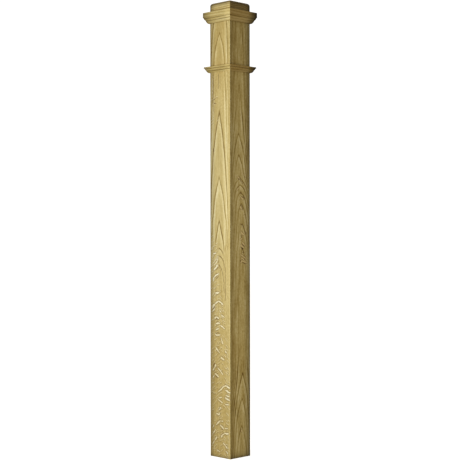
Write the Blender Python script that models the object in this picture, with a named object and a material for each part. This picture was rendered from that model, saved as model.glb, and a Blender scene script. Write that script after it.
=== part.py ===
# A box newel post: four oak boards mitred round a square hollow that is open at the foot,
# a solid block closing the top, a crown moulding hiding the joint between block and boards,
# and a smaller neck moulding a hand's breadth below it.
# Metres, Z up. The post stands on Z = 0 with its axis on the Z axis, and its front looks to -Y.

import math

import bmesh
import bpy

# The box
shaft_width = 0.0889
overall_height = 1.4224
board_thickness = 0.019
arris_radius = 0.0018  # the rounding sanded along the corners, stopped at each moulding

# The block on top
cap_rise = 0.0299  # what stands above the crown moulding
cap_seat_depth = 0.0141  # what is hidden behind the crown moulding
cap_edge_radius = 0.0095  # the rounding of the top edges

# The plain stretch between the two mouldings
frieze_height = 0.1368

# The crown moulding, from its upper edge down, and from its outer face in
crown_fillet_height = 0.0165
crown_lip = 0.0018  # how far the fillet stands out past the round below it
crown_upper_height = 0.0071
crown_upper_depth = 0.0032
crown_upper_swell = 0.0008
crown_quirk_height = 0.0010
crown_quirk_depth = 0.0012
crown_lower_height = 0.0096
crown_lower_depth = 0.0057
crown_lower_swell = 0.0009
crown_foot_thickness = 0.0040

# The neck moulding, the same way
neck_fillet_height = 0.0045
neck_lip = 0.0020
neck_upper_height = 0.0051
neck_upper_depth = 0.0021
neck_upper_swell = 0.0005
neck_quirk_height = 0.0008
neck_quirk_depth = 0.0008
neck_lower_height = 0.0076
neck_lower_depth = 0.0050
neck_lower_swell = 0.0006
neck_foot_thickness = 0.0040

# Fits
joint_gap = 0.0003  # between any two pieces that touch

# How finely the curves are cut
arris_steps = 2
cap_edge_steps = 8
round_steps = 6

# What follows from the sizes above
half_width = shaft_width / 2
mitre_setback = joint_gap / math.sqrt(2)  # keeps two mitred ends one joint gap apart
crown_height = crown_fillet_height + crown_upper_height + crown_quirk_height + crown_lower_height
neck_height = neck_fillet_height + neck_upper_height + neck_quirk_height + neck_lower_height
crown_top = overall_height - cap_rise
crown_bottom = crown_top - crown_height
neck_top = crown_bottom - frieze_height
neck_bottom = neck_top - neck_height
cap_bottom = crown_top - cap_seat_depth

# The stretches where the corners of the boards are rounded
board_eased = [(0.0, neck_bottom - joint_gap), (neck_top + joint_gap, crown_bottom - joint_gap)]

sides = ["front", "right", "back", "left"]


def turned(point, quarter):
    """The point turned about the Z axis by so many quarter turns, front to right."""
    x, y, z = point
    for _ in range(quarter):
        x, y = -y, x
    return (x, y, z)


def swollen(start, end, swell, steps):
    """Points of a shallow arc from start to end that rises by swell out of its chord."""
    run = end[0] - start[0]
    drop = end[1] - start[1]
    chord = math.hypot(run, drop)
    radius = (chord / 2) ** 2 / (2 * swell) + swell / 2
    half_angle = math.asin(chord / 2 / radius)
    # unit vectors along the chord and out of it, to the side away from the post
    along = (run / chord, drop / chord)
    out = (-along[1], along[0])
    points = []
    for i in range(steps + 1):
        angle = half_angle * (2 * i / steps - 1)
        travel = chord / 2 + radius * math.sin(angle)
        lift = radius * (math.cos(angle) - math.cos(half_angle))
        points.append((start[0] + along[0] * travel + out[0] * lift,
                       start[1] + along[1] * travel + out[1] * lift))
    return points


def moulding_profile(top, fillet_height, lip, upper, quirk, lower, foot_thickness):
    """The moulding's section as (distance from the axis, height), from the back round the front.

    upper and lower are the two rounds as (height, depth, swell), and quirk is the
    step between them as (height, depth).
    """
    upper_height, upper_depth, upper_swell = upper
    quirk_height, quirk_depth = quirk
    lower_height, lower_depth, lower_swell = lower
    foot = half_width + foot_thickness
    lower_out = foot + lower_depth
    upper_in = lower_out + quirk_depth
    upper_out = upper_in + upper_depth
    face = upper_out + lip
    fillet_bottom = top - fillet_height
    upper_bottom = fillet_bottom - upper_height
    lower_top = upper_bottom - quirk_height
    bottom = lower_top - lower_height
    back = half_width + joint_gap
    profile = [(back, bottom), (back, top), (face, top), (face, fillet_bottom)]
    profile += swollen((upper_out, fillet_bottom), (upper_in, upper_bottom), upper_swell, round_steps)
    profile += swollen((lower_out, lower_top), (foot, bottom), lower_swell, round_steps)
    return profile


def corner(center, radius, first_angle, last_angle, tip):
    """One corner of an outline: its sharp tip, and the points of the arc that can stand for it."""
    arc = []
    for i in range(arris_steps + 1):
        angle = first_angle + (last_angle - first_angle) * i / arris_steps
        arc.append((center[0] + radius * math.cos(angle), center[1] + radius * math.sin(angle)))
    return {"tip": tip, "arc": arc}


def board_outline():
    """The front board's section seen from above: two plain inner corners, two that can be rounded."""
    inner = half_width - board_thickness
    middle = half_width - arris_radius
    # the arc stops where it meets the mitre
    reach = math.acos(joint_gap / (2 * arris_radius)) - math.pi / 4
    down = -math.pi / 2
    return [
        (inner - mitre_setback, -inner),
        (mitre_setback - inner, -inner),
        corner((-middle, -middle), arris_radius, down - reach, down, (mitre_setback - half_width, -half_width)),
        corner((middle, -middle), arris_radius, down, down + reach, (half_width - mitre_setback, -half_width)),
    ]


def square_outline(half):
    """A square seen from above, each corner sharp or rounded."""
    outline = []
    for quarter in range(4):
        angle = math.pi / 4 + quarter * math.pi / 2
        side_x = math.copysign(1, math.cos(angle))
        side_y = math.copysign(1, math.sin(angle))
        center = (side_x * (half - arris_radius), side_y * (half - arris_radius))
        tip = (side_x * half, side_y * half)
        outline.append(corner(center, arris_radius, angle - math.pi / 4, angle + math.pi / 4, tip))
    return outline


def stacked(levels, eased):
    """A closed mesh through outlines at rising heights.

    levels holds (height, outline) and eased says, for each stretch between two levels,
    whether its corners are rounded. Where that changes, small shoulders close the corner.
    """
    mesh = bmesh.new()

    def vertex(at, height):
        return mesh.verts.new((at[0], at[1], height))

    rows = []
    for k, (height, outline) in enumerate(levels):
        near = eased[max(k - 1, 0):k + 1]
        row = []
        for item in outline:
            if isinstance(item, tuple):
                row.append({"plain": vertex(item, height)})
                continue
            ends = [vertex(item["arc"][0], height), vertex(item["arc"][-1], height)]
            tip = None if all(near) else vertex(item["tip"], height)
            between = [vertex(at, height) for at in item["arc"][1:-1]] if any(near) else []
            row.append({"ends": ends, "tip": tip, "between": between})
        rows.append(row)

    def ring(row, rounded):
        points = []
        for item in row:
            if "plain" in item:
                points.append(item["plain"])
                continue
            middle = item["between"] if rounded else [item["tip"]]
            points += [item["ends"][0], *middle, item["ends"][1]]
        return points

    for k, rounded in enumerate(eased):
        lower = ring(rows[k], rounded)
        upper = ring(rows[k + 1], rounded)
        for i in range(len(lower)):
            j = (i + 1) % len(lower)
            mesh.faces.new((lower[i], lower[j], upper[j], upper[i]))
    for k in range(1, len(eased)):
        if eased[k] == eased[k - 1]:
            continue
        for item in rows[k]:
            if "plain" in item:
                continue
            arc = [item["ends"][0], *item["between"], item["ends"][1]]
            for a, b in zip(arc, arc[1:]):
                mesh.faces.new((item["tip"], a, b))
    mesh.faces.new(ring(rows[0], eased[0]))
    mesh.faces.new(ring(rows[-1], eased[-1]))
    return mesh


def mitred_length(profile):
    """The front length of a moulding: its section drawn out between two mitred ends."""
    mesh = bmesh.new()
    ends = []
    for hand in (-1, 1):
        ends.append([mesh.verts.new((hand * (out - mitre_setback), -out, height)) for out, height in profile])
    left, right = ends
    for i in range(len(profile)):
        j = (i + 1) % len(profile)
        mesh.faces.new((left[i], left[j], right[j], right[i]))
    mesh.faces.new(left)
    mesh.faces.new(right)
    return mesh


def wood(name, color, roughness):
    material = bpy.data.materials.new(name)
    material.use_nodes = True
    shader = material.node_tree.nodes["Principled BSDF"]
    shader.inputs["Base Color"].default_value = (*color, 1.0)
    shader.inputs["Roughness"].default_value = roughness
    shader.inputs["Metallic"].default_value = 0.0
    return material


def piece(name, mesh, quarter, color, roughness):
    """A named object from the mesh, turned to its side of the post."""
    for vertex in mesh.verts:
        vertex.co = turned(vertex.co, quarter)
    bmesh.ops.recalc_face_normals(mesh, faces=mesh.faces)
    data = bpy.data.meshes.new(name)
    mesh.to_mesh(data)
    mesh.free()
    data.materials.append(wood(name + "_oak", color, roughness))
    made = bpy.data.objects.new(name, data)
    bpy.context.scene.collection.objects.link(made)
    return made


def board_levels():
    """Heights where the corners of a board turn sharp or round, from the foot up."""
    top = cap_bottom - joint_gap
    outline = board_outline()
    heights = [board_eased[0][0], board_eased[0][1], board_eased[1][0], board_eased[1][1], top]
    return [(height, outline) for height in heights], [True, False, True, False]


def cap_levels():
    """The block: sharp behind the moulding, rounded above it, drawn in round the top edge."""
    straight_top = overall_height - cap_edge_radius
    levels = [(height, square_outline(half_width)) for height in (cap_bottom, crown_top + joint_gap)]
    for i in range(cap_edge_steps + 1):
        angle = i / cap_edge_steps * math.pi / 2
        inset = cap_edge_radius * (1 - math.cos(angle))
        levels.append((straight_top + cap_edge_radius * math.sin(angle), square_outline(half_width - inset)))
    return levels, [False] + [True] * (cap_edge_steps + 1)


for old in list(bpy.data.objects):
    bpy.data.objects.remove(old, do_unlink=True)

crown_profile = moulding_profile(
    crown_top, crown_fillet_height, crown_lip,
    (crown_upper_height, crown_upper_depth, crown_upper_swell),
    (crown_quirk_height, crown_quirk_depth),
    (crown_lower_height, crown_lower_depth, crown_lower_swell),
    crown_foot_thickness)
neck_profile = moulding_profile(
    neck_top, neck_fillet_height, neck_lip,
    (neck_upper_height, neck_upper_depth, neck_upper_swell),
    (neck_quirk_height, neck_quirk_depth),
    (neck_lower_height, neck_lower_depth, neck_lower_swell),
    neck_foot_thickness)

board_color = (0.50, 0.39, 0.19)
moulding_color = (0.52, 0.41, 0.20)
block_color = (0.44, 0.34, 0.16)

for quarter, side in enumerate(sides):
    piece(side + "_board", stacked(*board_levels()), quarter, board_color, 0.62)
    piece("crown_moulding_" + side, mitred_length(crown_profile), quarter, moulding_color, 0.6)
    piece("neck_moulding_" + side, mitred_length(neck_profile), quarter, moulding_color, 0.6)
piece("cap_block", stacked(*cap_levels()), 0, block_color, 0.66)
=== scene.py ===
import math

import bmesh
import bpy
from mathutils import Matrix, Vector


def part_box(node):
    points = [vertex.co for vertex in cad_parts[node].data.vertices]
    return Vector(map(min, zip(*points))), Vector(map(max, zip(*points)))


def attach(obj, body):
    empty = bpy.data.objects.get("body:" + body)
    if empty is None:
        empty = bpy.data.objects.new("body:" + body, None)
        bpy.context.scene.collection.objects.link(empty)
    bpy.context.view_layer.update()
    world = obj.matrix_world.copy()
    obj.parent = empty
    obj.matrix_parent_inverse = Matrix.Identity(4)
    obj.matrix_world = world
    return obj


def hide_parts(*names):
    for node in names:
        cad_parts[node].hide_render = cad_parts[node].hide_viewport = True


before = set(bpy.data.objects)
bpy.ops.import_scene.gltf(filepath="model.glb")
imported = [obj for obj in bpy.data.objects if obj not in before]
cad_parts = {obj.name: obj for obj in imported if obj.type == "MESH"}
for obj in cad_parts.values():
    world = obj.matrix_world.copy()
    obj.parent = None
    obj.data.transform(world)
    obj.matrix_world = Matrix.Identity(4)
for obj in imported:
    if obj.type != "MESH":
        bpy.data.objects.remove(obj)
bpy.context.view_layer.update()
print("stage 1: the packed post is in, its pieces are", len(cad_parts))

sides = ["front", "right", "back", "left"]
scene = bpy.context.scene
mm = 1000.0                      # millimetres in a metre
crispAngle = math.radians(32)    # a bend sharper than this shows as an edge


# small tools

def hexToLinear(code):
    values = [int(code[i:i + 2], 16) / 255 for i in (1, 3, 5)]
    return tuple(v / 12.92 if v <= 0.04045 else ((v + 0.055) / 1.055) ** 2.4 for v in values) + (1.0,)


def addNode(tree, kind, settings=None, inputs=None):
    node = tree.nodes.new(kind)
    for name, value in (settings or {}).items():
        setattr(node, name, value)
    for key, value in (inputs or {}).items():
        if isinstance(value, bpy.types.NodeSocket):
            tree.links.new(value, node.inputs[key])
        else:
            node.inputs[key].default_value = value
    # a plain row, so that the tree can be read from left to right
    node.location = (190 * (len(tree.nodes) // 6), -170 * (len(tree.nodes) % 6))
    return node


def addTo(kind, settings, inputs):
    # the same in the tree of the first socket among the inputs
    tree = next(value.id_data for value in inputs.values() if isinstance(value, bpy.types.NodeSocket))
    return addNode(tree, kind, settings, inputs).outputs


def compute(operation, *values, clamp=False):
    return addTo("ShaderNodeMath", {"operation": operation, "use_clamp": clamp}, dict(enumerate(values)))[0]


def plus(*values):
    return compute("ADD", *values)


def minus(*values, clamp=False):
    return compute("SUBTRACT", *values, clamp=clamp)


def times(*values, clamp=False):
    return compute("MULTIPLY", *values, clamp=clamp)


def over(*values, clamp=False):
    return compute("DIVIDE", *values, clamp=clamp)


def timesPlus(*values, clamp=False):
    # the first times the second, and the third on top
    return compute("MULTIPLY_ADD", *values, clamp=clamp)


def join(*values):
    return addTo("ShaderNodeCombineXYZ", {}, dict(enumerate(values)))[0]


def spread(vector):
    return addTo("ShaderNodeSeparateXYZ", {}, {0: vector})


def vectorMath(operation, *values, out=0):
    return addTo("ShaderNodeVectorMath", {"operation": operation}, dict(enumerate(values)))[out]


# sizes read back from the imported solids

boardLow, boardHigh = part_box("front_board")
blockLow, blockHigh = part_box("cap_block")
crownLow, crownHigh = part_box("crown_moulding_front")
neckLow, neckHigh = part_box("neck_moulding_front")

post = {
    "halfWidth": blockHigh.x,
    "boardThickness": boardHigh.y - boardLow.y,
    "height": blockHigh.z,
    "boardTop": boardHigh.z,
    "seam": 0.00001,         # what is left of the gap between glued pieces
    "arrisRadius": 0.0018,   # the sanded corners, left sharp behind the mouldings
    "arrisSteps": 5,
    "stop": 0.0003,          # how far from a moulding the sanding stops
    "ramp": 0.0006,          # and over what length it runs out
}


def drawLine(name, points, closed):
    # a straight-edged line through the points, which the geometry nodes read
    curve = bpy.data.curves.new(name, "CURVE")
    curve.dimensions = "3D"
    spline = curve.splines.new("POLY")
    spline.points.add(len(points) - 1)
    for point, at in zip(spline.points, points):
        point.co = (*at, 1.0)
    spline.use_cyclic_u = closed
    drawn = bpy.data.objects.new(name, curve)
    scene.collection.objects.link(drawn)
    return drawn


def newTree(name, sockets):
    tree = bpy.data.node_groups.new(name, "GeometryNodeTree")
    tree.interface.new_socket("Geometry", in_out="OUTPUT", socket_type="NodeSocketGeometry")
    for label, kind in sockets + [("Quarter turns", "Int"), ("Log offset", "Vector"), ("Material", "Material")]:
        tree.interface.new_socket(label, in_out="INPUT", socket_type="NodeSocket" + kind)
    return tree, addNode(tree, "NodeGroupInput").outputs


def geometryOf(drawn):
    return addTo("GeometryNodeObjectInfo", {}, {"Object": drawn})["Geometry"]


def pointPlace(tree):
    # where each point lies at this stage of the tree
    return spread(addNode(tree, "GeometryNodeInputPosition").outputs[0])


def faceTurn(tree):
    # which way each face looks
    return spread(addNode(tree, "GeometryNodeInputNormal").outputs[0])


def store(geometry, name, kind, domain, value):
    return addTo("GeometryNodeStoreNamedAttribute", {"data_type": kind, "domain": domain},
                 {"Geometry": geometry, "Name": name, "Value": value})[0]


def drawOut(path, section):
    return addTo("GeometryNodeCurveToMesh", {}, {"Curve": path, "Profile Curve": section, "Fill Caps": True})[0]


def finishTree(tree, geometry, inputs, grain, alongGrain):
    # stores the wood's own coordinates in millimetres, then turns the piece to its side of the post
    shifted = vectorMath("MULTIPLY_ADD", grain, (mm, mm, mm), inputs["Log offset"])
    stored = store(geometry, "grain", "FLOAT_VECTOR", "POINT", shifted)
    cut = compute("ABSOLUTE", alongGrain)
    stored = store(stored, "endGrain", "FLOAT", "FACE", cut)
    smooth = addTo("GeometryNodeSetShadeSmooth", {"domain": "FACE"},
                   {"Geometry": stored, "Shade Smooth": True})[0]
    bend = addNode(tree, "GeometryNodeInputMeshEdgeAngle").outputs["Unsigned Angle"]
    crisp = addTo("FunctionNodeCompare", {"operation": "GREATER_THAN"}, {0: bend, 1: crispAngle})[0]
    smooth = addTo("GeometryNodeSetShadeSmooth", {"domain": "EDGE"},
                   {"Geometry": smooth, "Selection": crisp, "Shade Smooth": False})[0]
    rotation = join(0.0, 0.0, times(inputs["Quarter turns"], math.pi / 2))
    turned = addTo("GeometryNodeTransform", {}, {"Geometry": smooth, "Rotation": rotation})[0]
    real = addTo("GeometryNodeRealizeInstances", {}, {"Geometry": turned})[0]
    dressed = addTo("GeometryNodeSetMaterial", {}, {"Geometry": real, "Material": inputs["Material"]})[0]
    addTo("NodeGroupOutput", {}, {0: dressed})


def boardTree():
    # a board: its section drawn up the post, the arris let back to a sharp corner behind each moulding
    touching, leastDepth = 1e-7, 1e-6    # metres, below which a point counts as on the flat
    tree, inputs = newTree("mitred board up the post", [
        ("Section", "Object"), ("Path", "Object"), ("Half width", "Float"), ("Arris radius", "Float"),
        ("Neck low", "Float"), ("Neck high", "Float"), ("Crown low", "Float")])
    section = geometryOf(inputs["Section"])
    path = geometryOf(inputs["Path"])
    swept = drawOut(path, section)
    x, y, z = pointPlace(tree)
    middle = minus(inputs["Half width"], inputs["Arris radius"])
    sideways = minus(compute("ABSOLUTE", x), middle)
    outwards = minus(times(y, -1.0), middle)
    inArris = times(compute("GREATER_THAN", sideways, touching),
                    compute("GREATER_THAN", outwards, touching))
    behindNeck = times(compute("GREATER_THAN", z, inputs["Neck low"]),
                       compute("LESS_THAN", z, inputs["Neck high"]))
    behindCrown = compute("GREATER_THAN", z, inputs["Crown low"])
    hidden = times(inArris, compute("MAXIMUM", behindNeck, behindCrown))
    # pushed out along the arris radius until it meets the flat of the face
    reach = over(inputs["Arris radius"], compute("MAXIMUM", outwards, leastDepth))
    extra = times(minus(reach, 1.0), hidden)
    moveX = times(times(sideways, compute("SIGN", x)), extra)
    moveY = times(times(outwards, -1.0), extra)
    placed = addTo("GeometryNodeSetPosition", {}, {"Geometry": swept, "Offset": join(moveX, moveY)})[0]
    x, y, z = pointPlace(tree)
    grain = join(x, times(y, -1.0), z)
    finishTree(tree, placed, inputs, grain, faceTurn(tree)[2])
    return tree


def mouldingTree():
    # a length of moulding: its section drawn along one side, both ends cut back to the mitre
    tree, inputs = newTree("mitred moulding along a side", [
        ("Section", "Object"), ("Seam", "Float"), ("Fillet foot", "Float")])
    section = geometryOf(inputs["Section"])
    line = addNode(tree, "GeometryNodeCurvePrimitiveLine", {},
                   {"Start": (-1.0, 0.0, 0.0), "End": (1.0, 0.0, 0.0)}).outputs[0]
    swept = drawOut(line, section)
    x, y, z = pointPlace(tree)
    setback = over(inputs["Seam"], math.sqrt(2))
    half = minus(times(y, -1.0), setback)
    mitred = join(times(x, half), y, z)
    placed = addTo("GeometryNodeSetPosition", {}, {"Geometry": swept, "Position": mitred})[0]
    x, y, z = pointPlace(tree)
    grain = join(z, times(y, -1.0), x)
    # millimetres below the foot of the fillet, which the painted shade lines of the rounds go by
    drop = times(minus(inputs["Fillet foot"], z), mm)
    placed = store(placed, "drop", "FLOAT", "POINT", drop)
    finishTree(tree, placed, inputs, grain, faceTurn(tree)[0])
    return tree


def grow(name, tree, values):
    # runs the tree with its named inputs and keeps the plain mesh
    made = bpy.data.objects.new(name, bpy.data.meshes.new(name))
    scene.collection.objects.link(made)
    modifier = made.modifiers.new("grow", "NODES")
    modifier.node_group = tree
    for item in tree.interface.items_tree:
        if item.item_type == "SOCKET" and item.in_out == "INPUT" and item.name in values:
            modifier[item.identifier] = values[item.name]
    bpy.context.view_layer.update()
    mesh = bpy.data.meshes.new_from_object(made.evaluated_get(bpy.context.evaluated_depsgraph_get()))
    mesh.name = name
    made.modifiers.clear()
    made.data = mesh
    return made


# sections

def boardSection():
    half, radius, steps = post["halfWidth"], post["arrisRadius"], post["arrisSteps"]
    setback = post["seam"] / math.sqrt(2)
    inner = half - post["boardThickness"]
    reach = math.acos(post["seam"] / (2 * radius)) - math.pi / 4
    points = [(inner - setback, -inner, 0.0), (setback - inner, -inner, 0.0)]
    for hand in (-1, 1):
        arc = []
        for i in range(steps + 1):
            angle = reach * i / steps
            arc.append((hand * (half - radius + radius * math.sin(angle)),
                        -(half - radius + radius * math.cos(angle)), 0.0))
        points += arc[::-1] if hand < 0 else arc
    return points


def swollen(start, end, swell, steps):
    # a shallow arc that rises by swell out of the line from start to end
    run, drop = end[0] - start[0], end[1] - start[1]
    chord = math.hypot(run, drop)
    radius = (chord / 2) ** 2 / (2 * swell) + swell / 2
    halfAngle = math.asin(chord / 2 / radius)
    along = (run / chord, drop / chord)
    points = []
    for i in range(steps + 1):
        angle = halfAngle * (2 * i / steps - 1)
        travel = chord / 2 + radius * math.sin(angle)
        lift = radius * (math.cos(angle) - math.cos(halfAngle))
        points.append((start[0] + along[0] * travel - along[1] * lift,
                       start[1] + along[1] * travel + along[0] * lift))
    return points


crown = {
    "top": crownHigh.z,
    "filletHeight": 0.0165, "lip": 0.0018,
    "upper": (0.0071, 0.0032, 0.0008),   # height, depth, swell of the upper round
    "quirk": (0.0010, 0.0012),           # height, depth of the step between the rounds
    "lower": (0.0096, 0.0057, 0.0009),
    "footThickness": 0.0040,
    "edge": 0.0004,                      # the moulding's own sanded edges
    "steps": 12, "paintedShadeShift": 0.0,       # how much higher or lower its painted shade lines sit
}

neck = {
    "top": neckHigh.z,
    "filletHeight": 0.0045, "lip": 0.0020,
    "upper": (0.0051, 0.0021, 0.0005),
    "quirk": (0.0008, 0.0008),
    "lower": (0.0076, 0.0050, 0.0006),
    "footThickness": 0.0040,
    "edge": 0.0003,
    "steps": 10, "paintedShadeShift": -0.0011,
}


def mouldingSection(moulding):
    foot = post["halfWidth"] + moulding["footThickness"]
    upperHeight, upperDepth, upperSwell = moulding["upper"]
    quirkHeight, quirkDepth = moulding["quirk"]
    lowerHeight, lowerDepth, lowerSwell = moulding["lower"]
    lowerOut = foot + lowerDepth
    upperIn = lowerOut + quirkDepth
    upperOut = upperIn + upperDepth
    face = upperOut + moulding["lip"]
    top = moulding["top"]
    filletBottom = top - moulding["filletHeight"]
    upperBottom = filletBottom - upperHeight
    lowerTop = upperBottom - quirkHeight
    bottom = lowerTop - lowerHeight
    back = post["halfWidth"] + post["seam"]
    edge, edgeSteps = moulding["edge"], 3
    outline = [(back, bottom), (back, top)]
    for corner, first in (((face, top), 90), ((face, filletBottom), 0)):
        center = (corner[0] - edge, corner[1] + (edge if first == 0 else -edge))
        for i in range(edgeSteps + 1):
            angle = math.radians(first - 90 * i / edgeSteps)
            outline.append((center[0] + edge * math.cos(angle), center[1] + edge * math.sin(angle)))
    outline += swollen((upperOut, filletBottom), (upperIn, upperBottom), upperSwell, moulding["steps"])
    outline += swollen((lowerOut, lowerTop), (foot, bottom), lowerSwell, moulding["steps"])
    # the node draws a section with its second axis pointing down
    return [(out, -height, 0.0) for out, height in outline]


# the block

block = {
    "low": blockLow.z,
    "eased": crownHigh.z + post["stop"],    # above this its upright corners are rounded
    "sharpRadius": 0.00002,                 # what stands for a sharp corner below that
    "edgeRadius": 0.0095,
    "edgeSteps": 14,
    "cornerSteps": 6,
}


def squareRow(mesh, half, radius, height):
    row = []
    for quarter, (signX, signY) in enumerate([(1, 1), (-1, 1), (-1, -1), (1, -1)]):
        for i in range(block["cornerSteps"] + 1):
            angle = quarter * math.pi / 2 + math.pi / 2 * i / block["cornerSteps"]
            row.append(mesh.verts.new((signX * (half - radius) + radius * math.cos(angle),
                                       signY * (half - radius) + radius * math.sin(angle), height)))
    return row


def blockMesh(material):
    mesh = bmesh.new()
    half, radius = post["halfWidth"], post["arrisRadius"]
    straightTop = post["height"] - block["edgeRadius"]
    rows = [squareRow(mesh, half, block["sharpRadius"], block["low"]),
            squareRow(mesh, half, block["sharpRadius"], block["eased"]),
            squareRow(mesh, half, radius, block["eased"] + post["ramp"])]
    for i in range(block["edgeSteps"] + 1):
        angle = math.pi / 2 * i / block["edgeSteps"]
        inset = block["edgeRadius"] * (1 - math.cos(angle))
        rows.append(squareRow(mesh, half - inset, radius, straightTop + block["edgeRadius"] * math.sin(angle)))
    for lower, upper in zip(rows, rows[1:]):
        for i in range(len(lower)):
            j = (i + 1) % len(lower)
            mesh.faces.new((lower[i], lower[j], upper[j], upper[i]))
    mesh.faces.new(rows[0][::-1])
    mesh.faces.new(rows[-1])
    bmesh.ops.recalc_face_normals(mesh, faces=mesh.faces)
    data = bpy.data.meshes.new("cap_block_looks")
    mesh.to_mesh(data)
    mesh.free()
    # the block lies on its side: its grain runs along X
    grain = data.attributes.new("grain", "FLOAT_VECTOR", "POINT")
    for vertex, value in zip(data.vertices, grain.data):
        value.vector = (vertex.co.y * mm, vertex.co.z * mm, vertex.co.x * mm)
    ends = data.attributes.new("endGrain", "FLOAT", "FACE")
    for face, value in zip(data.polygons, ends.data):
        value.value = abs(face.normal.x)
    data.shade_smooth()
    data.set_sharp_from_angle(angle=crispAngle)
    data.materials.append(material)
    return data


# oak

seedSteps = (7.13, 3.71, 5.39)    # how far apart in the noise two seeds lie


def noiseOf(vector, size, seed, detail, rough):
    # size is the length of one wave in millimetres across, into and along the grain
    scaled = vectorMath("MULTIPLY_ADD", vector, tuple(1.0 / s for s in size),
                        tuple(seed * s for s in seedSteps))
    return addTo("ShaderNodeTexNoise", {"noise_dimensions": "3D"},
                 {"Vector": scaled, "Scale": 1.0, "Detail": detail, "Roughness": rough})[0]


def shareOf(value, low, high, manner):
    return addTo("ShaderNodeMapRange", {"interpolation_type": manner, "clamp": True},
                 {"Value": value, "From Min": low, "From Max": high})[0]


def stepUp(value, low, high):
    return shareOf(value, low, high, "SMOOTHSTEP")


def stepDown(value, low, high):
    return minus(1.0, stepUp(value, low, high))


def curveOf(value, reach, table, top):
    # the table gives an amount for each place; places run over reach, amounts over 0 to top
    low, high = reach
    share = shareOf(value, low, high, "LINEAR")
    node = addNode(value.id_data, "ShaderNodeFloatCurve", {}, {"Value": share})
    curve = node.mapping.curves[0]
    wanted = [((at - low) / (high - low), amount / top) for at, amount in table.items()]
    while len(curve.points) < len(wanted):
        curve.points.new(0.5, 0.5)
    for point, place in zip(curve.points, sorted(wanted)):
        point.location = place
        point.handle_type = "AUTO_CLAMPED"
    node.mapping.update()
    return times(node.outputs[0], top)


def toneRamp(value, stops):
    node = addNode(value.id_data, "ShaderNodeValToRGB", {}, {0: value})
    ramp = node.color_ramp
    while len(ramp.elements) < len(stops):
        ramp.elements.new(0.5)
    for element, (at, tone) in zip(ramp.elements, stops.items()):
        element.position = at
        element.color = hexToLinear(tone)
    return node.outputs[0]


def tint(kind, amount, color, tone):
    # lays the tone over the color, either as it is or by multiplying
    return addTo("ShaderNodeMix", {"data_type": "RGBA", "blend_type": kind},
                 {0: amount, 6: color, 7: hexToLinear(tone)})[2]


sliverForm = {
    "bowRange": 0.03, "bow": -0.008,    # how much it is bent, per millimetre squared
    "blunt": 0.4,                       # how little it thins towards its ends
    "core": 0.4,                        # share of its half width that is fully bright
    "shadowDrop": 1.5,                  # how far below it its shade lies, in half widths
    "shadow": (0.3, 1.2),               # where that shade starts and ends to fade
    "gateSoftness": 0.1,
}


def raySlivers(across, along, middle, where, sliver):
    # one short bright sliver in each cell, leaning down and away from the middle line,
    # with its own slope and length
    cellWide, cellHigh = sliver["cell"]
    form = sliverForm
    place = join(over(across, cellWide), over(along, cellHigh), sliver["seed"])
    cells = addTo("ShaderNodeTexVoronoi", {"voronoi_dimensions": "2D"}, {"Vector": place, "Scale": 1.0})
    offX, offY = spread(vectorMath("SUBTRACT", place, cells["Position"]))[:2]
    offX = times(offX, cellWide)
    offY = times(offY, cellHigh)
    luckSlope, luckLength, luckPresence = spread(cells["Color"])
    side = compute("SIGN", minus(across, middle))
    slope = times(timesPlus(luckSlope, sliver["slopeRange"], sliver["slope"]), side)
    away = timesPlus(offX, slope, offY)
    bow = times(times(offX, offX), timesPlus(luckSlope, form["bowRange"], form["bow"]))
    away = plus(away, bow)
    halfLength = timesPlus(luckLength, sliver["lengthRange"], sliver["length"])
    share = over(offX, halfLength)
    taper = minus(1.0, times(share, share), clamp=True)
    halfWidth = times(compute("POWER", taper, form["blunt"]), sliver["width"])
    core = stepDown(compute("ABSOLUTE", away), times(halfWidth, form["core"]), halfWidth)
    under = compute("ABSOLUTE", plus(away, sliver["width"] * form["shadowDrop"]))
    shadow = stepDown(under, *[times(halfWidth, part) for part in form["shadow"]])
    present = stepUp(plus(luckPresence, minus(where, 1.0)),
                     sliver["gate"], sliver["gate"] + form["gateSoftness"])
    present = times(present, compute("GREATER_THAN", taper, 0.0))
    return times(core, present), times(shadow, present)


strokeForm = {
    "far": 99.0,         # half widths away, before any stroke is met
    "thinning": 0.9,     # how much thinner a stroke is at its ends
    "thinningPower": 3.0,
}


def strokeGroup():
    # one straight stroke on the face; the place comes in with the distance to the nearest stroke
    # so far as its third number, counted in half widths, and goes out the same way
    group = bpy.data.node_groups.new("one stroke of fleck", "ShaderNodeTree")
    for label, kind in (("Place", "Vector"), ("Start", "Vector"), ("Run", "Vector"), ("Half width", "Float")):
        group.interface.new_socket(label, in_out="INPUT", socket_type="NodeSocket" + kind)
    group.interface.new_socket("Place", in_out="OUTPUT", socket_type="NodeSocketVector")
    inputs = addNode(group, "NodeGroupInput").outputs
    run = inputs["Run"]
    across, along, nearest = spread(inputs["Place"])
    off = vectorMath("SUBTRACT", join(across, along), inputs["Start"])
    reached = vectorMath("DOT_PRODUCT", off, run, out="Value")
    whole = vectorMath("DOT_PRODUCT", run, run, out="Value")
    share = over(reached, whole, clamp=True)
    foot = addTo("ShaderNodeVectorMath", {"operation": "SCALE"}, {0: run, "Scale": share})[0]
    gap = vectorMath("DISTANCE", off, foot, out="Value")
    # thinner towards both ends
    middling = compute("ABSOLUTE", timesPlus(share, 2.0, -1.0))
    thinner = timesPlus(compute("POWER", middling, strokeForm["thinningPower"]),
                        strokeForm["thinning"], 1.0)
    own = times(over(gap, inputs["Half width"]), thinner)
    least = compute("MINIMUM", own, nearest)
    addTo("NodeGroupOutput", {}, {0: join(across, along, least)})
    return group


fleckStroke = strokeGroup()


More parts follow.
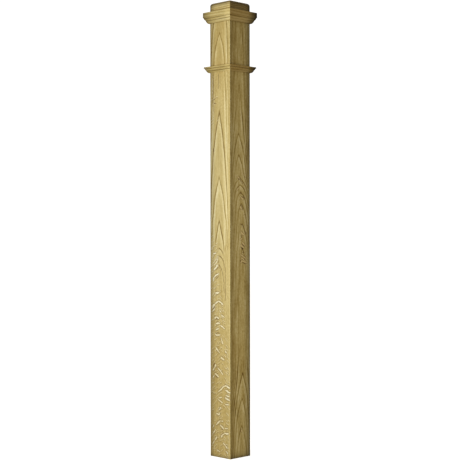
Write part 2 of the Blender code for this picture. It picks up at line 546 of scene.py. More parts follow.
def nearestStroke(across, along, strokes):
    # a stroke is its half width, then across and along for each of its points, all in millimetres
    place = join(across, along, strokeForm["far"])
    for halfWidth, *numbers in strokes:
        points = list(zip(numbers[::2], numbers[1::2]))
        for start, end in zip(points, points[1:]):
            place = addTo("ShaderNodeGroup", {"node_tree": fleckStroke}, {
                "Place": place, "Start": (*start, 0.0), "Run": (end[0] - start[0], end[1] - start[1], 0.0),
                "Half width": halfWidth})[0]
    return spread(place)[2]


# the unevenness of the wood: length of a wave in millimetres across, into and along the grain,
# then the step of its seed, its detail and its roughness; where the length is 0, the wood has its own
oakWaves = {
    "wander": ((60, 60, 210), 0, 2.0, 0.5),          # how the rings stray
    "ripple": ((9, 9, 60), 1, 2.0, 0.5),
    "faint": ((11, 11, 34), 10, 1.0, 0.5),           # where a ring's edge fades
    "hairline": ((2.6, 2.6, 26), 8, 2.0, 0.6),
    "streak": ((1.6, 1.6, 0), 2, 3.0, 0.62),
    "band": ((6, 6, 0), 9, 1.0, 0.5),
    "cloud": ((26, 26, 120), 3, 2.0, 0.5),
    "mottle": ((5, 5, 7), 11, 1.0, 0.5),
    "pore": ((0.34, 0.34, 5.5), 4, 1.0, 0.5),
    "sliverSway": ((14, 30, 16), 5, 1.0, 0.5),
    "bendAcross": ((7, 7, 7), 6, 1.0, 0.5),          # how a drawn fleck is bent
    "bendAlong": ((7, 7, 7), 7, 1.0, 0.5),
    "frayed": ((2.2, 2.2, 2.8), 12, 2.0, 0.5),
    "uneven": ((6, 6, 4), 13, 1.0, 0.5),
}

oakForm = {
    "halfFace": 50.0,                       # millimetres that a table across the face reaches to each side
    "cut": (0.3, 0.9),                      # how far a face looks along the grain to show as end grain
    "ringReach": (0.0, 100.0), "mostPassed": 24.0, "mostShift": 14.0, "mostNarrow": 4.0,
    "crowding": 18.0,                       # the most that narrow arches are drawn in
    "stepAside": 2.0, "stepAlong": 8.0,     # over what lengths the slope of the rings is taken
    "outerEdge": 0.2, "innerEdge": 0.1,     # where the two flanks of a ring's dark edge start
    "innerShare": 0.4,                      # the inner flank's share of the edge's width
    "luck": (0.5, 0.5), "luckStep": 1.37,   # how much the rings differ in depth
    "leftLegs": (-7.0, 1.0),                # where the left legs of the arches begin
    "faint": (1.1, 0.4),                    # how much an edge fades along its length
    "ringLines": (14.0, 0.25, 0.3),         # how closely the fine lines keep to rings, face and height
    "poreGate": (-0.14, 0.70), "poreSharpness": 9.0,
    "fleckLimit": (-4.0, 6.0),              # how softly the fleck starts and stops
    "fray": 0.9, "uneven": (1.3, 0.3),      # how ragged and how patchy the drawn flecks are
    # a drawn fleck's parts, in half widths from its middle line
    "dark": (0.9, 1.9), "pale": (1.0, 2.2), "rimIn": (1.5, 2.2), "rimOut": (2.2, 4.0),
    # what three of the tone tables reach over, in millimetres: painted shade below a moulding's fillet, painted
    # light and shade at the block's corners, and the block's top
    "drop": (-20.0, 22.0), "corners": (-100.0, 100.0), "blockHeight": (1370.0, 1425.0),
    # the first tint warms the painted shade lines of the mouldings
    "paintedShadeTint": "#ffe7ad", "warmTint": "#fff8e6",
    "streakRelief": 0.3, "bumpStrength": 0.35, "bumpDistance": 0.00008,
}


def oak(name, wood):
    material = bpy.data.materials.new(name)
    material.use_nodes = True
    tree = material.node_tree
    shader = tree.nodes["Principled BSDF"]
    form = oakForm
    grain = addNode(tree, "ShaderNodeAttribute", {"attribute_name": "grain"}).outputs["Vector"]
    endGrain = addNode(tree, "ShaderNodeAttribute", {"attribute_name": "endGrain"}).outputs["Fac"]
    cutAcross = stepUp(endGrain, *form["cut"])
    across, into, along = spread(grain)

    def byHeight(table, top=1.0, at=along):
        # one of the wood's tables, read off along the grain
        return curveOf(at, wood["reach"], wood[table], top)

    def placeByHeight(table):
        # the same for a place across the face, whose middle is 50 in the table
        return minus(byHeight(table, 2 * form["halfFace"]), form["halfFace"])

    def byWidth(table, top):
        return curveOf(across, (-form["halfFace"], form["halfFace"]), wood[table], top)

    def wave(label, vector=grain):
        (wide, deep, long), step, detail, rough = oakWaves[label]
        return noiseOf(vector, (wide, deep, long or wood[label + "Length"]), wood["seed"] + step, detail, rough)

    def swing(label, vector=grain):
        # the same wave to both sides of nothing
        return minus(wave(label, vector), 0.5)

    # growth rings: the distance from the heart of the tree, which the log's taper shifts along the board
    wander = swing("wander")
    ripple = swing("ripple")
    sideways = minus(across, placeByHeight("heart"))
    sideways = timesPlus(wander, wood["wander"], sideways)
    sideways = timesPlus(ripple, wood["ripple"], sideways)
    narrow = byHeight("narrow", form["mostNarrow"])
    aside = compute("ABSOLUTE", sideways)
    here, further = [compute("MINIMUM", times(at, narrow), plus(at, form["crowding"]))
                     for at in (aside, plus(aside, form["stepAside"]))]
    passed = curveOf(here, form["ringReach"], wood["passed"], form["mostPassed"])
    rings = timesPlus(minus(into, wood["face"]), 1.0 / wood["ringWidth"], passed)
    shift = byHeight("rings", form["mostShift"])
    phase = minus(shift, rings)

    # how fast the rings pass over the face, so that a ring's edge keeps its width in millimetres
    beside = curveOf(further, form["ringReach"], wood["passed"], form["mostPassed"])
    slopeAcross = over(minus(beside, passed), form["stepAside"])
    ahead = byHeight("rings", form["mostShift"], plus(along, form["stepAlong"]))
    slopeAlong = over(minus(ahead, shift), form["stepAlong"])
    slope = compute("SQRT", timesPlus(slopeAcross, slopeAcross, times(slopeAlong, slopeAlong)))
    least = timesPlus(cutAcross, 1.0 / wood["ringWidth"], wood["leastSlope"])
    slope = compute("MAXIMUM", slope, least)
    past = compute("FRACT", phase)
    luck = addTo("ShaderNodeTexWhiteNoise", {"noise_dimensions": "1D"},
                 {"W": plus(compute("ROUND", phase), wood["seed"] * form["luckStep"])})["Value"]
    inside = over(past, slope)
    outside = over(minus(1.0, past), slope)
    innerWidth = wood["edgeWidth"] * form["innerShare"]
    nearOutside = stepDown(outside, form["outerEdge"], wood["edgeWidth"])
    nearInside = stepDown(inside, form["innerEdge"], innerWidth)
    edge = times(nearOutside, minus(1.0, nearInside))
    edge = compute("MAXIMUM", edge, nearInside)
    edge = times(edge, timesPlus(luck, *form["luck"]))
    edgeTone = times(byHeight("edgeAlong"), byWidth("edgeAcross", 1.0))
    leftness = stepDown(sideways, *form["leftLegs"])
    weaker = minus(byHeight("leftLegs"), 1.0)
    edgeTone = times(edgeTone, timesPlus(leftness, weaker, 1.0))
    edge = times(edge, edgeTone)
    edge = times(edge, timesPlus(wave("faint"), *form["faint"]))
    glowIn = stepDown(inside, innerWidth, wood["glowWidth"])
    glowIn = times(glowIn, edgeTone)

    # fine lines that keep to the rings, streaks along the grain and slow clouds
    ringVector = join(*[times(value, scale)
                        for value, scale in zip((phase, across, along), form["ringLines"])])
    hairline = swing("hairline", ringVector)
    streak = swing("streak")
    band = swing("band")
    cloud = swing("cloud")
    mottle = times(swing("mottle"), byHeight("mottleAlong", 4.0))
    body = timesPlus(glowIn, wood["glow"], wood["body"])
    for source, label in ((hairline, "hairline"), (streak, "streak"), (band, "band"),
                          (cloud, "cloud"), (mottle, "mottle")):
        body = timesPlus(source, wood[label], body)
    body = timesPlus(edge, -wood["edge"], body)
    color = toneRamp(body, wood["colors"])

    # open pores, thickest beside each ring's edge
    pore = wave("pore")
    gate = timesPlus(edge, *form["poreGate"])
    poreMask = times(minus(pore, gate), form["poreSharpness"], clamp=True)
    color = tint("MIX", times(poreMask, wood["poreDepth"]), color, wood["poreColor"])

    # ray fleck: bright slivers that fall away to both sides of a line up the board
    if wood["slivers"]:
        bent = timesPlus(swing("sliverSway"), wood["sliverSway"], along)
        middle = placeByHeight("fleckMiddle")
        fleckAlong = byHeight("fleckAlong")
        leftLimit = placeByHeight("fleckFrom")
        rightLimit = placeByHeight("fleckTo")
        insideLeft = stepUp(minus(across, leftLimit), *form["fleckLimit"])
        insideRight = stepUp(minus(rightLimit, across), *form["fleckLimit"])
        where = times(fleckAlong, times(insideLeft, insideRight))
        for sliver in wood["slivers"]:
            stroke, shadow = raySlivers(across, bent, middle, where, sliver)
            color = tint("MULTIPLY", times(shadow, sliver["shade"]), color, wood["fleckShade"])
            color = tint("MIX", times(stroke, sliver["shine"]), color, wood["fleckColor"])

    # the larger flecks, stroke by stroke: pale ones with a soft dark rim, and dark ones
    if wood["paleStrokes"]:
        bendAcross, bendAlong = swing("bendAcross"), swing("bendAlong")
        bentAcross = timesPlus(bendAcross, wood["strokeBend"], across)
        bentAlong = timesPlus(bendAlong, wood["strokeBend"], along)
        frayed = wave("frayed")
        darkNear, paleNear = [timesPlus(frayed, form["fray"], nearestStroke(bentAcross, bentAlong, strokes))
                              for strokes in (wood["darkStrokes"], wood["paleStrokes"])]
        dark = stepDown(darkNear, *form["dark"])
        rim = times(stepUp(paleNear, *form["rimIn"]), stepDown(paleNear, *form["rimOut"]))
        pale = stepDown(paleNear, *form["pale"])
        pale = times(pale, timesPlus(wave("uneven"), *form["uneven"], clamp=True))
        for mask, amount, blend, tone in ((rim, "rimShade", "MULTIPLY", "fleckShade"),
                                          (dark, "darkShade", "MULTIPLY", "fleckShade"),
                                          (pale, "paleShine", "MIX", "fleckColor")):
            color = tint(blend, times(mask, wood[amount]), color, wood[tone])

    # painted light and shade: where the piece is lighter or darker across its width and along its length, in
    # dark lines below each moulding's fillet and at the block's corners; the block is also darker over its
    # rounded top, and every piece darker on its cut ends
    shade = times(byWidth("paintedShadingAcross", 2.0), byHeight("paintedShadingAlong", 2.0))
    # painted shade: dark lines below each moulding's fillet and step and over its lower rounds, standing in for
    # the shadow under the lips, kept warm by a tint
    if "paintedShadeBelowFillet" in wood:
        drop = addNode(tree, "ShaderNodeAttribute", {"attribute_name": "drop"}).outputs["Fac"]
        paintedShadeTone = curveOf(drop, form["drop"], wood["paintedShadeBelowFillet"], 2.0)
        shade = times(shade, paintedShadeTone)
        color = tint("MULTIPLY", minus(1.0, paintedShadeTone, clamp=True), color, form["paintedShadeTint"])
    if "paintedShadingCorners" in wood:
        corners = curveOf(plus(across, along), form["corners"], wood["paintedShadingCorners"], 2.0)
        shade = times(shade, corners)
    if "toneInto" in wood:
        shade = times(shade, curveOf(into, form["blockHeight"], wood["toneInto"], 2.0))
    shade = times(shade, timesPlus(cutAcross, wood["endTone"] - 1.0, 1.0))
    color = addTo("ShaderNodeVectorMath", {"operation": "SCALE"}, {0: color, "Scale": shade})[0]
    # yellower where the boards are: more at the outer corners and above
    warmth = times(byHeight("warmAlong"), byWidth("warmAcross", 2.0))
    color = tint("MULTIPLY", warmth, color, form["warmTint"])

    tree.links.new(color, shader.inputs["Base Color"])
    shader.inputs["Roughness"].default_value = wood["roughness"]
    shader.inputs["Specular IOR Level"].default_value = wood["specular"]
    height = minus(times(streak, form["streakRelief"]), poreMask)
    bump = addTo("ShaderNodeBump", {}, {"Strength": form["bumpStrength"], "Distance": form["bumpDistance"],
                                        "Height": height})[0]
    tree.links.new(bump, shader.inputs["Normal"])
    return material


def woodLook(changes):
    # every table goes by millimetres: along the grain where not said otherwise
    wood = {
        "seed": 1, "reach": (0.0, 1422.0),
        "face": 44.45, "ringWidth": 3.2, "leastSlope": 0.0,
        "heart": {0: 50, 1422: 50},    # 50 is the middle of the board
        "rings": {0: 8, 1422: 1},      # rings met on the way down the middle line
        "passed": {0: 0, 2: 0.03, 5: 0.09, 11: 0.2, 20: 0.44, 29: 0.88, 35: 1.35, 40: 2.0, 46: 3.0, 60: 6,
                   100: 16},
        "wander": 9.0, "ripple": 3.0,
        "edgeWidth": 4.6, "edge": 0.72, "glowWidth": 18.0, "glow": 0.24, "body": 0.58,
        "hairline": 0.4, "streak": 0.3, "streakLength": 90.0, "bandLength": 300.0, "band": 0.3, "cloud": 0.25,
        "mottle": 0.22, "mottleAlong": {-80: 1, 1422: 1},
        "colors": {0.0: "#83682b", 0.35: "#b09550", 0.7: "#d0ba7c", 1.0: "#ead9a6"},
        "poreDepth": 0.5, "poreColor": "#6b5122",
        "edgeAlong": {0: 1, 1422: 1}, "edgeAcross": {-50: 1, 50: 1}, "leftLegs": {0: 1, 1422: 1},
        "warmAlong": {-80: 0.6, 1422: 0.6}, "warmAcross": {-50: 1, 50: 1},
        "paleStrokes": [], "darkStrokes": [], "strokeBend": 5.0, "rimShade": 0.55, "darkShade": 0.7,
        "paleShine": 0.85,
        "slivers": [], "sliverSway": 10.0, "fleckMiddle": {0: 50, 1422: 50}, "fleckAlong": {0: 0, 1422: 0},
        "fleckFrom": {0: 0, 1422: 0}, "fleckTo": {0: 100, 1422: 100}, "fleckColor": "#f2e1ac",
        "fleckShade": "#8f733d",
        "paintedShadingAcross": {-50: 1, 50: 1}, "paintedShadingAlong": {0: 1, 1422: 1},
        "endTone": 0.62, "roughness": 0.55, "specular": 0.35, "narrow": {-80: 1, 1422: 1},
    }
    wood.update(changes)
    return wood


# how yellow the boards are, by height
boardWarmth = {0: 1, 300: 1, 400: 0.7, 580: 0.3, 770: 0.1, 960: 0.15, 1057: 0.5, 1196: 0.9, 1422: 1}

# planed plain-sawn oak: pointed arches down the face, breaking into ray fleck on the lower half
frontPale = [
    (1.6, -31, 635, -18, 637), (1.2, -9, 627, -12, 615, -18, 606, -26, 600),
    (1.0, -16, 621, -22, 613, -31, 606), (2.2, -11, 600, -18, 592, -28, 585),
    (1.9, -7, 575, -28, 561, -31, 549), (2.3, -22, 512, -5, 514),
    (2.1, -34, 469, -24, 478, -8, 487, 4, 483, 11, 477), (1.7, -34, 465, -24, 475),
    (1.9, -33, 455, -24, 463), (1.4, -2, 457, 4, 453), (1.5, 5, 445, 19, 437),
    (2, -25, 433, -17, 438, -6, 434), (2.2, -18, 416, -3, 419), (1.9, 2, 412, 12, 407, 21, 401),
    (1.7, -19, 398, -5, 402), (1.7, -22, 384, -16, 380, 0, 383), (1.8, 3, 375, 6, 366, 11, 355),
    (2.1, -19, 342, -4, 326), (1.7, 22, 332, 28, 329), (2.3, 4, 313, 9, 309, 18, 306),
    (2.2, -19, 289, -25, 278, -33, 270), (1.8, -12, 279, 13, 260), (2.2, -22, 260, -7, 251),
    (1.8, -33, 246, -27, 253), (2.1, -9, 204, 18, 224, 28, 225, 42, 219), (2.2, 24, 212, 42, 205),
    (1.6, 25, 196, 41, 193), (2.4, 22, 188, 42, 181), (1.7, -5, 186, 8, 188), (1.8, -9, 179, 10, 172),
    (1.6, 23, 168, 38, 167), (1.9, 3, 157, -6, 147), (2, -17, 136, -4, 133, -4, 140),
    (2.3, -1, 114, -18, 101), (1.6, 5, 115, 13, 114), (2.4, 0, 101, 16, 90), (1.6, -29, 99, -32, 91),
    (1.6, 21, 92, 33, 94), (1.8, -20, 85, -35, 69), (2, 3, 64, 11, 72, 19, 77, 35, 79),
    (2.2, -15, 63, -23, 52), (1.6, -27, 49, -35, 37), (1.8, 13, 46, 24, 39, 30, 31),
    (1.5, -15, 23, -2, 18), (1.5, 25, 24, 32, 15), (0.8, -34.5, 1196, -33, 1125),
]
frontDark = [
    (2.4, -2, 628, 4, 624), (1.7, -5, 616, -10, 605), (1.8, -9, 593, -16, 585), (2, -7, 565, -16, 558),
    (1.8, -24, 469, -33, 460), (1.6, -19, 432, -7, 431), (1.1, -21, 387, -2, 389),
    (1.8, -24, 293, -32, 282), (1.8, -22, 254, -14, 248), (1.6, 5, 93, 13, 89),
    (1.5, -30, 1118, -23, 1119), (1.6, -29, 1109, -16, 1105), (2, -30, 965, -27, 956),
    (1.3, -7, 1199, -6, 1172, -7, 1150), (1.2, -30, 1196, -29, 1130, -27, 1070),
    (1.5, -3, 652, 6, 645, 13, 636), (1.5, -1, 627, 9, 620, 15, 612), (1.3, 15, 612, 20, 596, 23, 577),
    (1.1, 23, 577, 24, 536, 22.5, 489), (1.5, -5, 601, 3, 592, 9, 581, 14, 565),
    (1.2, 14, 565, 17, 543, 17, 514),
]
frontWood = oak("planed oak, front board", woodLook({
    "seed": 3, "heart": {0: 46, 1180: 46, 1300: 48.5, 1340: 51, 1422: 50}, "edge": 0.84,
    "paleStrokes": frontPale, "darkStrokes": frontDark,
    "rings": {0: 7.6, 300: 7.45, 520: 7.25, 597: 7, 628: 6, 652: 5, 668: 4.5, 690: 4.25, 735: 4, 760: 3.72,
              805: 3.42, 872: 3, 1073: 2, 1170: 1.72, 1247: 1.5, 1278: 1.33, 1322: 1.0, 1422: 0.3},
    "edgeAlong": {0: 0.1, 480: 0.12, 570: 0.2, 600: 0.35, 640: 0.55, 680: 1, 1120: 1, 1150: 0.7, 1230: 0.7,
                  1260: 1, 1422: 1},
    "leftLegs": {0: 0.2, 640: 0.2, 680: 0.5, 710: 1, 1422: 1}, "edgeAcross": {-50: 1, 31: 1, 38: 0.45, 50: 0.3},
    "narrow": {0: 1.5, 520: 1.6, 597: 1.8, 628: 1.8, 652: 1.6, 668: 1.25, 700: 1.1, 740: 1, 1422: 1},
    "mottleAlong": {0: 2.4, 500: 2.2, 580: 1.3, 640: 1, 1060: 1, 1100: 2.2, 1200: 2.4, 1240: 1.3, 1422: 1.3},
    "fleckMiddle": {0: 62, 120: 60, 230: 68, 300: 58, 400: 47, 480: 46, 540: 52, 700: 56, 1030: 46, 1422: 46},
    "fleckAlong": {0: 1, 640: 1, 690: 0.8, 715: 0, 1025: 0, 1040: 0.8, 1065: 0.8, 1075: 0, 1095: 0, 1105: 0.9,
                   1125: 0.9, 1140: 0, 1422: 0},
    "fleckTo": {0: 92, 330: 90, 400: 76, 470: 66, 540: 50, 600: 46, 700: 40, 1020: 55, 1060: 55, 1110: 40,
                1422: 40},
    "slivers": [
        {"cell": (13, 10), "seed": 4.3, "slope": 0.3, "slopeRange": 0.8, "length": 4.0, "lengthRange": 6.0,
         "width": 1.8, "gate": 0.3, "shade": 0.34, "shine": 0.38},
    ],
    "fleckColor": "#fbf0cb",
    "warmAlong": boardWarmth,
    "warmAcross": {-50: 1.15, -38: 1.15, -15: 1.0, 15: 0.9, 34: 0.25, 50: 0.1},
    # painted shade towards the left edge and at the foot, painted light towards the near corner
    "paintedShadingAcross": {-50: 0.42, -43: 0.44, -38: 0.58, -33.5: 0.7, -28: 0.79, -18: 0.94, 0: 0.98, 20: 1.05,
                   38: 1.15, 43: 1.22, 50: 1.22},
    "paintedShadingAlong": {0: 0.54, 2: 0.62, 5: 0.76, 8: 0.9, 12: 0.99, 18: 1.01, 300: 1.015, 480: 1.03, 600: 1.06,
                  700: 1.04, 900: 1.03, 1150: 1.0, 1422: 0.98},
}))

# planed plain-sawn oak: two groups of pointed arches with straight grain and ripple fleck between them
rightPale = [
    (2, -12, 875, -3, 871), (1.6, -17, 832, -7, 842), (1.8, 0, 814, 13, 805), (2.6, 0, 782, 6, 775),
    (2, 2, 704, 16, 693), (1.7, 1, 679, 9, 684), (1.8, 8, 671, 20, 661), (2.4, 3, 663, 14, 653),
    (1.7, 1, 633, 14, 627, 23, 619), (1.8, 5, 623, 20, 614), (2, 1, 607, 7, 613, 29, 607),
    (1.8, 5, 85, 6, 79),
]
rightDark = [
    (1.8, -11, 870, 0, 866, 11, 853), (2, -1, 824, 3, 822), (1.8, 4, 816, 19, 808),
    (1.8, 1, 789, 9, 781, 12, 770), (1.8, -1, 728, 10, 725, 15, 718), (2.6, 2, 693, 7, 687),
    (1.8, 18, 708, 27, 697), (2.3, 7, 666, 17, 657), (2.2, 4, 655, 11, 650), (1.8, 4, 631, 15, 628),
    (1.8, 9, 641, 14, 637), (2.2, 0, 615, 2, 609), (1.8, 8, 618, 16, 613), (1.8, 13, 607, 24, 602),
]
rightWood = oak("planed oak, right board", woodLook({
    "seed": 5, "heart": {0: 56, 98: 56, 260: 60, 500: 60, 730: 58, 828: 51, 900: 46, 1000: 45, 1422: 45},
    "paleStrokes": rightPale, "darkStrokes": rightDark,
    "passed": {0: 0, 2: 0.04, 5: 0.13, 10: 0.3, 13.5: 0.44, 19: 0.77, 25: 1.25, 32: 2.0, 40: 3.1, 46: 4.1,
               60: 7, 100: 17},
    "rings": {0: 13.0, 96: 12, 180: 11, 258: 10, 340: 9.6, 560: 9.45, 650: 9.0, 728: 8, 790: 7, 826: 6, 849: 5,
              872: 4, 941: 3, 1008: 2, 1095: 1.3, 1422: 0.2},
    "edgeAlong": {0: 0.9, 270: 1, 330: 0.3, 580: 0.25, 680: 1, 1060: 1, 1110: 0.4, 1422: 0.4},
    "edgeAcross": {-50: 0.55, -34: 0.65, -24: 1, 12: 1, 26: 0.72, 50: 0.6},
    "leftLegs": {0: 0.9, 300: 0.9, 700: 0.45, 900: 0.4, 940: 0.6, 1422: 0.6},
    "mottleAlong": {0: 1.4, 300: 2.2, 700: 2.2, 900: 1.6, 1100: 2.2, 1422: 2.2}, "streak": 0.5,
    "streakLength": 48.0, "band": 0.8, "bandLength": 60.0, "edge": 0.9,
    "fleckMiddle": {0: 50, 600: 78, 760: 74, 880: 60, 1422: 50}, "sliverSway": 6.0,
    "fleckAlong": {0: 0, 580: 0, 610: 1, 720: 1, 750: 0.7, 800: 0.8, 900: 0.7, 940: 0, 1422: 0},
    "fleckFrom": {0: 60, 700: 66, 780: 58, 900: 46, 1422: 50}, "fleckTo": {0: 86, 1422: 86},
    "fleckColor": "#e6d29a", "fleckShade": "#8a6a35", "darkShade": 0.62,
    "colors": {0.0: "#826b2d", 0.35: "#ae9954", 0.7: "#cebf82", 1.0: "#e8dead"},
    "slivers": [
        {"cell": (15, 9), "seed": 2.7, "slope": 0.5, "slopeRange": 0.8, "length": 3.5, "lengthRange": 5.0,
         "width": 1.7, "gate": 0.35, "shade": 0.4, "shine": 0.4},
    ],
    "warmAlong": boardWarmth,
    "warmAcross": {-50: 1.3, -34: 1.2, -15: 0.7, 15: 0.6, 38: 0.3, 50: 0.3},
    # painted shade towards both upright edges, most at the far one, at the foot and towards the top
    "paintedShadingAcross": {-50: 0.66, -44: 0.68, -38: 0.77, -25: 0.93, -12: 1.03, 12: 1.05, 20: 0.93, 28: 0.78,
                   33: 0.69, 37.5: 0.53, 43: 0.33, 50: 0.3},
    "paintedShadingAlong": {0: 0.36, 4: 0.52, 9: 0.7, 17: 0.84, 30: 0.93, 250: 0.935, 500: 0.95, 700: 0.98, 900: 0.97,
                  1150: 0.92, 1300: 0.86, 1422: 0.86},
}))

# planed oak of the two sides away from the light, plainer figure
backWood = oak("planed oak, back board", woodLook({
    "seed": 8, "heart": {0: 44, 1422: 55},
    "rings": {0: 1, 260: 2, 430: 3, 560: 4, 900: 5.2, 1422: 6.5}}))
leftWood = oak("planed oak, left board", woodLook({
    "seed": 11, "heart": {0: 56, 1422: 48},
    "rings": {0: 7.4, 220: 6.6, 480: 5, 620: 4, 840: 3, 1120: 2, 1422: 1.1}}))

# sanded oak lying on its side: rings as flat lines on two faces, dark end grain on the other two
blockWood = oak("sanded oak, cap block", woodLook({
    "seed": 14, "reach": (-60.0, 60.0), "face": 1400.0, "ringWidth": 6.2, "leastSlope": 0.2,
    "heart": {-60: 50, 60: 50}, "rings": {-60: 10, 60: 10.6}, "edgeWidth": 1.9, "glowWidth": 4.0, "body": 0.66,
    "passed": {0: 0, 20: 0.5, 44: 1.8, 60: 3.4, 100: 9}, "wander": 1.5, "ripple": 0.8, "edge": 0.36,
    "glow": 0.15, "streak": 0.15, "hairline": 0.2, "cloud": 0.5, "endTone": 0.43, "specular": 0.2,
    "edgeAlong": {-60: 1, 60: 1}, "paintedShadingAlong": {-60: 1, 60: 1},
    # painted shade towards the two corners at its outline and painted light along the near and back corners
    "paintedShadingCorners": {-100: 0.2, -88: 0.26, -84: 0.38, -79: 0.68, -72: 0.86, -58: 1, -20: 1.02, -10: 1.12,
                    -3: 1.22, 2: 1.1, 12: 1.03, 66: 1, 76: 0.82, 82: 0.48, 88: 0.22, 100: 0.2},
    "toneInto": {1370: 1, 1400: 1, 1406: 0.95, 1410: 0.85, 1414: 0.62, 1418: 0.5, 1421.5: 0.5, 1422.2: 0.85,
                 1425: 0.9},
}))


# moulded and sanded oak: straight fine grain that follows each length, with painted shade lines below the
# fillet and over the lower rounds, and painted light and shade along each length
def mouldedOak(side, seed, fillet, lines, paintedShadingAlong):
    # fillet is the painted brightness of its flat top part; lines are where the two painted shade lines lie, in
    # millimetres below it, and how dark the second is; the last table is the painted light and shade along the
    # length
    first, second, depth = lines
    return oak("moulded oak, " + side, woodLook({
        "seed": seed, "reach": (-80.0, 80.0), "face": 40.0, "ringWidth": 4.6, "leastSlope": 0.2,
        "heart": {-80: 97, 80: 95}, "rings": {-80: 12, 80: 12.2}, "passed": {0: 0, 100: 11},
        "wander": 2.0, "ripple": 1.2, "edgeWidth": 2.2, "edge": 0.2, "glowWidth": 5.0, "glow": 0.1,
        "body": 0.64, "cloud": 0.15, "band": 0.2, "hairline": 0.15, "streak": 0.2, "specular": 0.15,
        "edgeAlong": {-80: 1, 80: 1}, "paintedShadingAlong": paintedShadingAlong,
        "warmAlong": {-80: 0.5, -20: 0.3, 20: 0.15, 46: 0, 80: 0},
        "paintedShadeBelowFillet": {-20: fillet, -2: fillet,
                     first - 1.6: 0.95, first - 0.7: 0.57, first + 0.7: 0.57, first + 1.8: 1.0,
                     second - 1.8: 1.02, second - 0.8: depth, second + 0.8: depth, second + 1.8: 1.0,
                     12.8: 0.98, 14.6: 0.89, 16: 0.9, 17.2: 0.72, 22: 0.7},
    }))


# the last table of each length is painted light and shade along it: dark towards the end at the outline,
# lighter towards the near corner
mouldingWoods = [
    mouldedOak("front", 17, 1.03, (2.4, 9.3, 0.48), {
        -80: 0.32, -60: 0.34, -53: 0.48, -44: 0.65, -35: 0.78, -20: 0.93, 20: 1.02, 34: 1.1, 46: 1.24,
        80: 1.25}),
    mouldedOak("right", 21, 0.84, (3.5, 10.6, 0.76), {
        -80: 0.8, -20: 0.9, 15: 0.86, 30: 0.62, 36: 0.45, 40: 0.34, 45: 0.27, 50: 0.18, 54: 0.1,
        60: 0.06, 80: 0.06}),
    mouldedOak("back", 25, 1.0, (2.4, 9.2, 0.56), {-80: 1, 80: 1}),
    mouldedOak("left", 29, 1.0, (2.4, 9.2, 0.56), {-80: 1, 80: 1}),
]


# building the pieces

stop, ramp = post["stop"], post["ramp"]
stations = [0.0, neckLow.z - stop - ramp, neckLow.z - stop, neckHigh.z + stop, neckHigh.z + stop + ramp,
            crownLow.z - stop - ramp, crownLow.z - stop, post["boardTop"]]
sectionOfBoard = drawLine("board section", boardSection(), True)
boardPath = drawLine("board path", [(0.0, 0.0, height) for height in stations], False)
treeOfBoard = boardTree()
boardWoods = [frontWood, rightWood, backWood, leftWood]
pieces = []
for quarter, side in enumerate(sides):
    board = grow(side + "_board_looks", treeOfBoard, {
        "Section": sectionOfBoard, "Path": boardPath, "Half width": post["halfWidth"],
        "Arris radius": post["arrisRadius"], "Neck low": neckLow.z - stop - ramp / 2,
        "Neck high": neckHigh.z + stop + ramp / 2, "Crown low": crownLow.z - stop - ramp / 2,
        "Quarter turns": quarter, "Log offset": (0.0, 0.0, 0.0), "Material": boardWoods[quarter]})
    pieces.append((board, side + "_board", "oak_boards"))
print("stage 2: four boards")

logStep = 37.0    # millimetres through the log from one length of moulding to the next
treeOfMoulding = mouldingTree()
for moulding, label in ((crown, "crown"), (neck, "neck")):
    section = drawLine(label + " section", mouldingSection(moulding), True)
    for quarter, side in enumerate(sides):
        length = grow(label + "_moulding_" + side + "_looks", treeOfMoulding, {
            "Section": section, "Seam": post["seam"], "Quarter turns": quarter,
            "Log offset": (logStep * quarter - moulding["top"] * mm, 0.0, 0.0),
            "Fillet foot": moulding["top"] - moulding["filletHeight"] - moulding["paintedShadeShift"],
            "Material": mouldingWoods[quarter]})
        pieces.append((length, label + "_moulding_" + side, "oak_mouldings"))
print("stage 3: two bands of moulding")

capBlock = bpy.data.objects.new("cap_block_looks", blockMesh(blockWood))
scene.collection.objects.link(capBlock)
pieces.append((capBlock, "cap_block", "oak_block"))

for made, node, slot in pieces:
    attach(made, "root")
    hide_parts(node)
for drawn in [o for o in scene.objects if o.type == "CURVE"]:
    bpy.data.objects.remove(drawn)
print("stage 4: the block, and every piece joined to the post")


# the studio

studio = {
    "distance": 3.644, "eye": 0.700,     # metres from the post's axis and above the floor
    "lens": 90.63, "film": 36,           # millimetres
    "tilt": 0.150, "swing": 0.0094, "roll": -0.060,    # degrees off level and off the corner
    "floorReach": 9, "floorDrop": 0.0004,
    "paper": "#bcbcbc", "paperRoughness": 0.9, "paperGlow": 0.9,
    "room": "#a89f8f", "backdrop": (1.1, 1.1, 1.1, 1),    # the backdrop is a little brighter than white
}

floorMesh = bpy.data.meshes.new("floor")
far = studio["floorReach"]
floorMesh.from_pydata([(-far, -far, 0), (far, -far, 0), (far, far, 0), (-far, far, 0)], [], [(0, 1, 2, 3)])
floor = bpy.data.objects.new("floor", floorMesh)
scene.collection.objects.link(floor)
floor.location.z = -studio["floorDrop"]
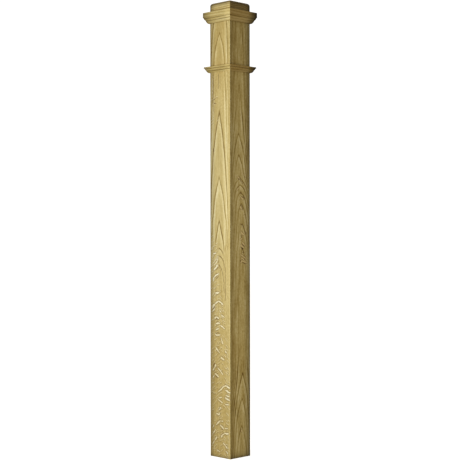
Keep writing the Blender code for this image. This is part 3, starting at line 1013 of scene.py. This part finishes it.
# pale paper floor that reads white to the lens without flooding the post from below
paper = bpy.data.materials.new("pale paper")
paper.use_nodes = True
paperTree = paper.node_tree
paperShader = paperTree.nodes["Principled BSDF"]
paperShader.inputs["Base Color"].default_value = hexToLinear(studio["paper"])
paperShader.inputs["Roughness"].default_value = studio["paperRoughness"]
plain = paperShader.outputs[0]
seen = addNode(paperTree, "ShaderNodeLightPath").outputs["Is Camera Ray"]
glow = addNode(paperTree, "ShaderNodeEmission", {},
               {"Color": hexToLinear("#ffffff"), "Strength": studio["paperGlow"]})
both = addTo("ShaderNodeAddShader", {}, {0: plain, 1: glow.outputs[0]})[0]
chosen = addTo("ShaderNodeMixShader", {}, {0: seen, 1: plain, 2: both})[0]
paperTree.links.new(chosen, paperTree.nodes["Material Output"].inputs["Surface"])
floorMesh.materials.append(paper)

world = bpy.data.worlds.new("white room")
scene.world = world
world.use_nodes = True
sky = world.node_tree
seen = addNode(sky, "ShaderNodeLightPath").outputs["Is Camera Ray"]
roomColor = addTo("ShaderNodeMix", {"data_type": "RGBA"},
                  {0: seen, 6: hexToLinear(studio["room"]), 7: studio["backdrop"]})[2]
sky.links.new(roomColor, sky.nodes["Background"].inputs["Color"])
sky.nodes["Background"].inputs["Strength"].default_value = 1.0


def softbox(name, at, aim, size, power, tint):
    data = bpy.data.lights.new(name, "AREA")
    data.shape = "RECTANGLE"
    data.size, data.size_y = size, size
    data.energy = power
    data.color = hexToLinear(tint)[:3]
    lamp = bpy.data.objects.new(name, data)
    scene.collection.objects.link(lamp)
    lamp.location = at
    lamp.rotation_euler = (Vector(aim) - Vector(at)).to_track_quat("-Z", "Y").to_euler()
    lamp.visible_camera = False


softbox("key softbox", at=(-0.3, -1.4, 0.84), aim=(0, 0, 0.84), size=0.5, power=17, tint="#e9f4ff")
softbox("fill softbox", at=(1.2, 0.25, 0.58), aim=(0, 0, 0.6), size=0.4, power=2.6, tint="#ffefd6")

camera = bpy.data.objects.new("camera", bpy.data.cameras.new("camera"))
scene.collection.objects.link(camera)
camera.data.lens = studio["lens"]
camera.data.sensor_width = studio["film"]
reach = studio["distance"] / math.sqrt(2)
camera.location = (reach, -reach, studio["eye"])
turn = Matrix.Rotation(math.radians(45 + studio["swing"]), 4, "Z")
turn = turn @ Matrix.Rotation(math.radians(90 + studio["tilt"]), 4, "X")
turn = turn @ Matrix.Rotation(math.radians(studio["roll"]), 4, "Z")
camera.rotation_euler = turn.to_euler()
scene.camera = camera
scene.view_settings.view_transform = "Standard"
print("stage 5: floor, lamps and camera")
